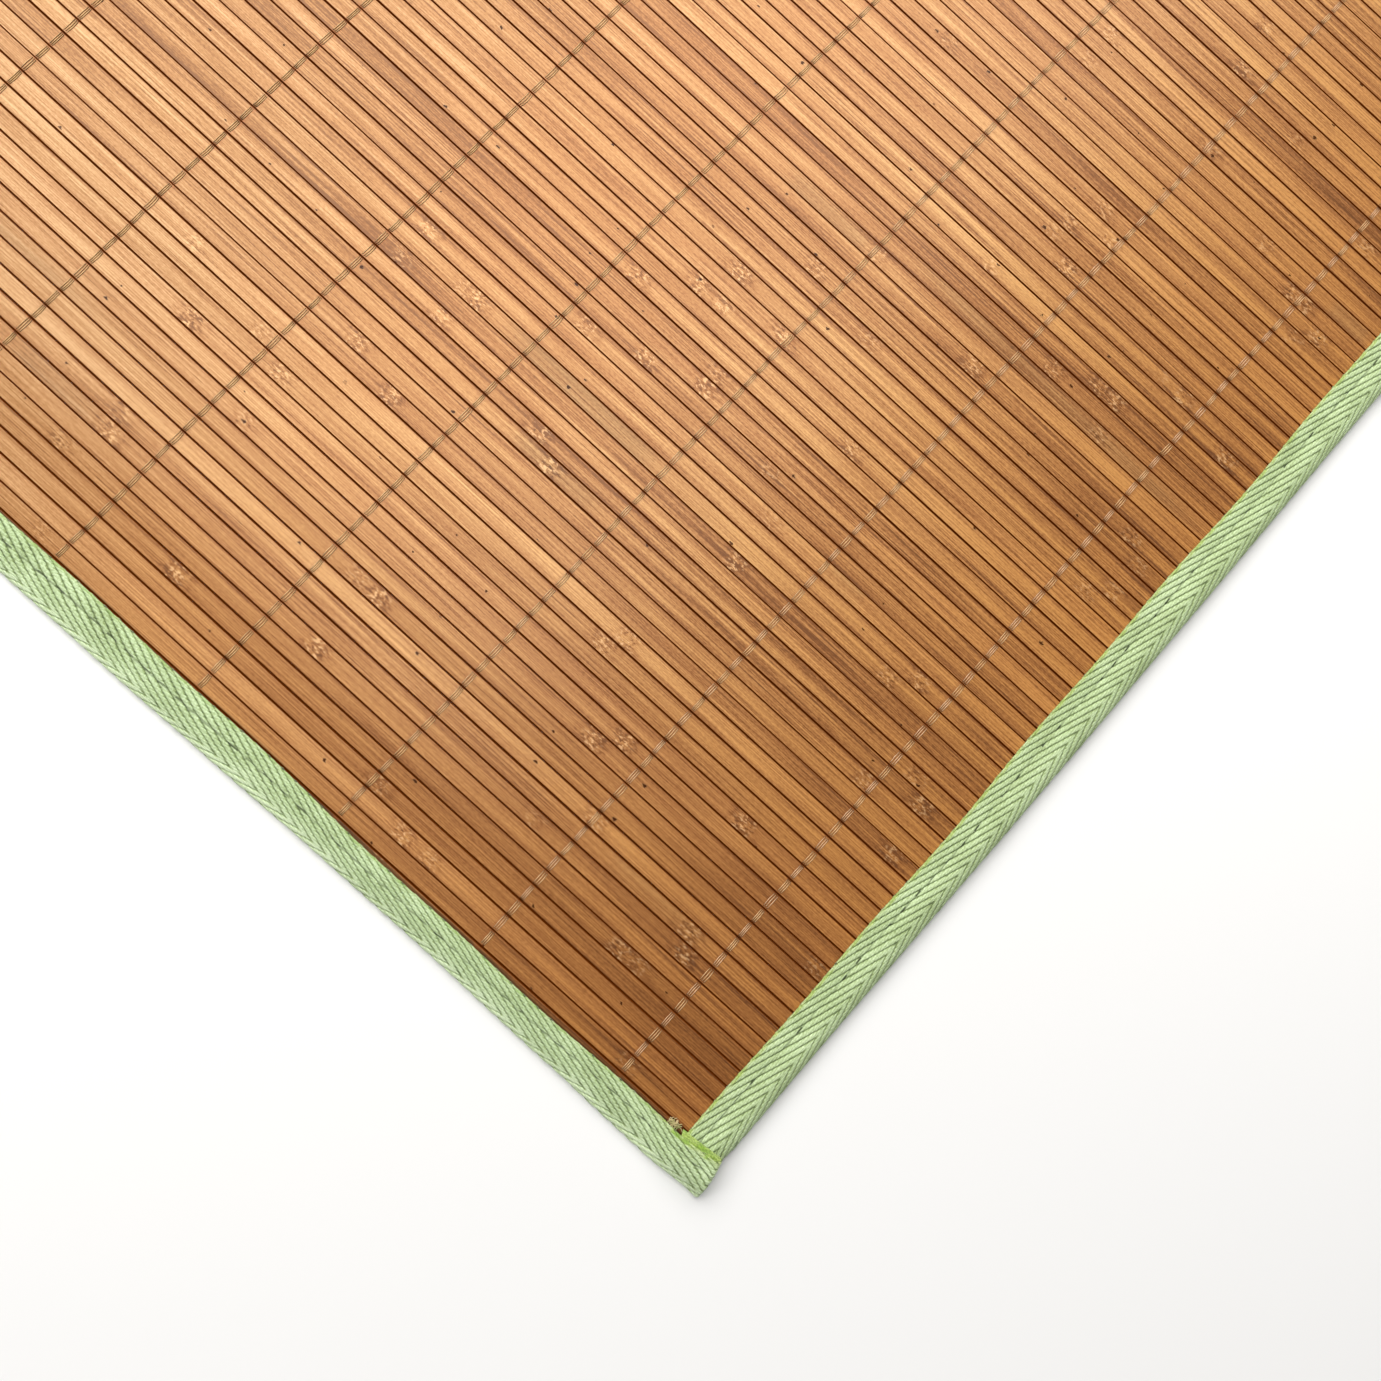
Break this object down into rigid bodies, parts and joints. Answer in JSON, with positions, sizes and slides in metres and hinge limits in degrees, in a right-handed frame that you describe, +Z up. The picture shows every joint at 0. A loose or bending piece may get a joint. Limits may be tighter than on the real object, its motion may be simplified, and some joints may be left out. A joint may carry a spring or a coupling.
{
  "type": "bamboo rug",
  "caption": "Flat rectangular mat of split bamboo slats woven side by side on cotton warp threads, bound on all four edges with folded herringbone twill tape.",
  "frame": {"origin": "middle of the rug, at the height of the surface it lies on", "axes": "+X along the slats, +Y across them along the rug's length, +Z up"},
  "size_m": [0.4, 0.6, 0.0054],
  "materials": {
    "bamboo": "carbonised caramel bamboo, satin",
    "tape": "pale green cotton herringbone twill",
    "thread": "tan twisted cotton"
  },
  "bodies": {
    "root": {"slat_panel": "bamboo", "side_tape_right": "tape", "side_tape_left": "tape", "end_tape_near": "tape", "end_tape_far": "tape", "thread_top_1": "thread", "thread_top_2": "thread", "thread_top_3": "thread", "thread_top_4": "thread", "thread_top_5": "thread", "thread_top_6": "thread", "thread_top_7": "thread", "thread_top_8": "thread", "thread_top_9": "thread", "thread_under_1": "thread", "thread_under_2": "thread", "thread_under_3": "thread", "thread_under_4": "thread", "thread_under_5": "thread", "thread_under_6": "thread", "thread_under_7": "thread", "thread_under_8": "thread", "thread_under_9": "thread"}
  },
  "joints": []
}
